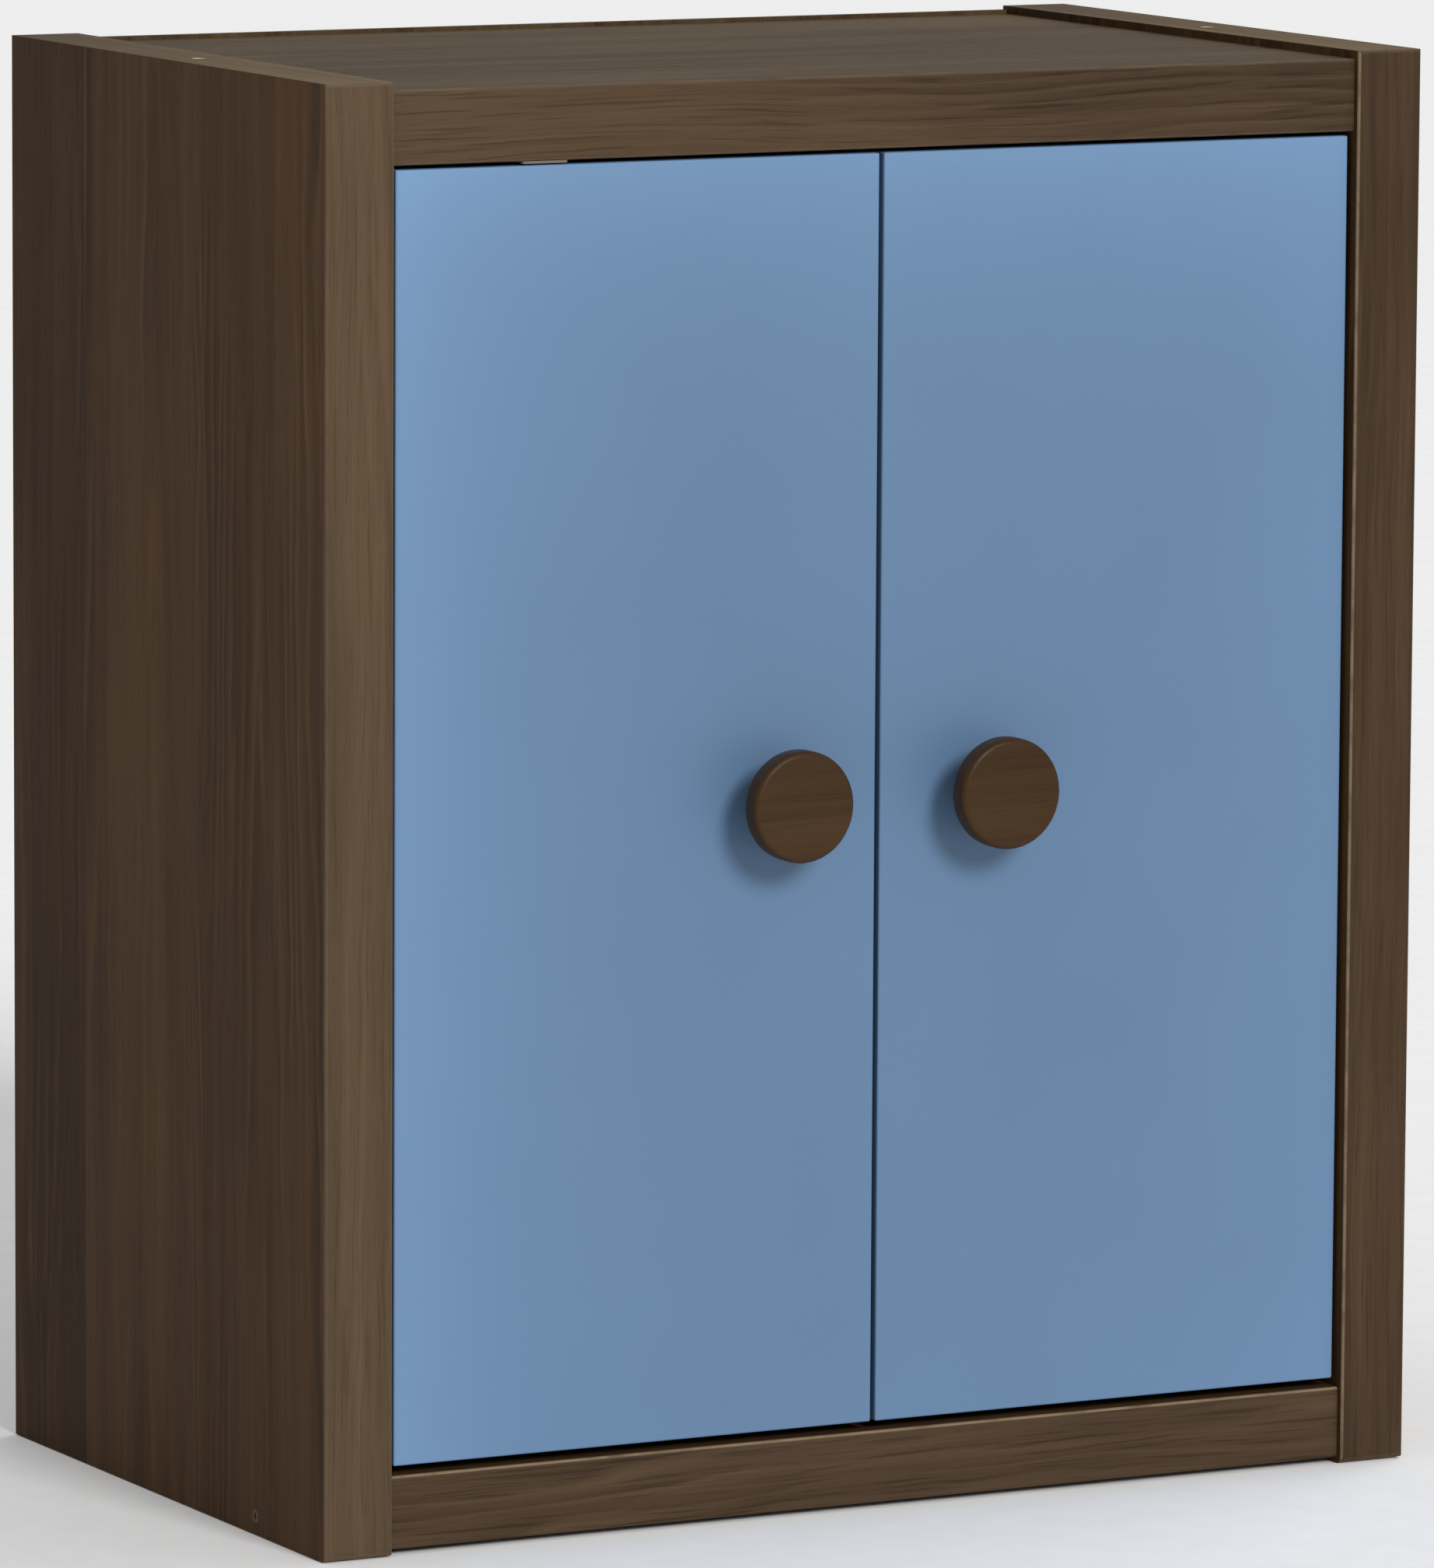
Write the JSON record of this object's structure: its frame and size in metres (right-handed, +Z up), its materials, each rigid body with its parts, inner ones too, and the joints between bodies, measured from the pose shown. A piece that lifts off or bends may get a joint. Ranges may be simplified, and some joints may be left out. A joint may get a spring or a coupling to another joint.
{
  "type": "cube storage unit",
  "caption": "Stackable box cabinet in dark walnut-look boards with inset blue hinged doors, round turned knobs and an adjustable shelf.",
  "frame": {"origin": "on the floor, below the middle of the outer box, knobs included", "axes": "+Z up, -Y out of the doors, +X to the right seen from the front"},
  "size_m": [0.6, 0.39, 0.708],
  "materials": {
    "walnut_side": "walnut-look laminate, satin, grain upright",
    "walnut_board": "walnut-look laminate, satin, grain across",
    "walnut_upright_band": "walnut-look edge band, satin, grain upright",
    "walnut_cross_band": "walnut-look edge band, satin, grain across",
    "walnut_knob": "turned and oiled walnut",
    "blue_paint": "painted fibreboard, satin blue",
    "nickel_steel": "nickel plated",
    "zinc_screws": "zinc plated",
    "zinc_cast": "cast, matte",
    "brass_insert": "machined",
    "beech": "raw turned beech",
    "pale_plastic": "moulded, matte",
    "brown_plastic": "moulded, matte",
    "ferrite": "sintered, matte"
  },
  "bodies": {
    "case": {"left_side_panel": "walnut_side", "right_side_panel": "walnut_side", "top_panel": "walnut_board", "bottom_panel": "walnut_board", "back_panel": "walnut_board", "left_front_band": "walnut_upright_band", "right_front_band": "walnut_upright_band", "top_front_band": "walnut_cross_band", "bottom_front_band": "walnut_cross_band", "shelf": "walnut_board", "shelf_front_band": "walnut_cross_band", "shelf_pins": "nickel_steel", "cam_locks": "zinc_cast", "cam_bolts": "zinc_screws", "wood_dowels": "beech", "side_lock_screws": "zinc_screws", "stacking_sleeves": "pale_plastic", "back_panel_screws": "zinc_screws", "gap_pad": "pale_plastic", "catch_housing": "brown_plastic", "catch_magnets": "ferrite", "catch_pole_plates": "nickel_steel", "catch_screws": "zinc_screws", "hinge_plate_screws": "zinc_screws", "hinge_arm_screws": "zinc_screws", "lower_left_hinge_arm": "nickel_steel", "upper_left_hinge_arm": "nickel_steel", "lower_right_hinge_arm": "nickel_steel", "upper_right_hinge_arm": "nickel_steel", "lower_left_hinge_plate": "nickel_steel", "upper_left_hinge_plate": "nickel_steel", "lower_right_hinge_plate": "nickel_steel", "upper_right_hinge_plate": "nickel_steel"},
    "left_door": {"left_door_panel": "blue_paint", "left_knob": "walnut_knob", "left_knob_insert": "brass_insert", "left_knob_screw": "zinc_screws", "left_strike_plate": "nickel_steel", "left_strike_screw": "zinc_screws", "left_hinge_pins": "nickel_steel", "left_cup_screws": "zinc_screws", "lower_left_hinge_cup": "nickel_steel", "upper_left_hinge_cup": "nickel_steel"},
    "right_door": {"right_door_panel": "blue_paint", "right_knob": "walnut_knob", "right_knob_insert": "brass_insert", "right_knob_screw": "zinc_screws", "right_strike_plate": "nickel_steel", "right_strike_screw": "zinc_screws", "right_hinge_pins": "nickel_steel", "right_cup_screws": "zinc_screws", "lower_right_hinge_cup": "nickel_steel", "upper_right_hinge_cup": "nickel_steel"}
  },
  "joints": [
    {"name": "left_door_hinge", "type": "hinge", "parent": "case", "child": "left_door", "pos_m": [-0.23725, -0.151, 0.354], "axis": [0, 0, -1], "range_deg": [0, 105]},
    {"name": "right_door_hinge", "type": "hinge", "parent": "case", "child": "right_door", "pos_m": [0.23725, -0.151, 0.354], "axis": [0, 0, 1], "range_deg": [0, 105]}
  ]
}
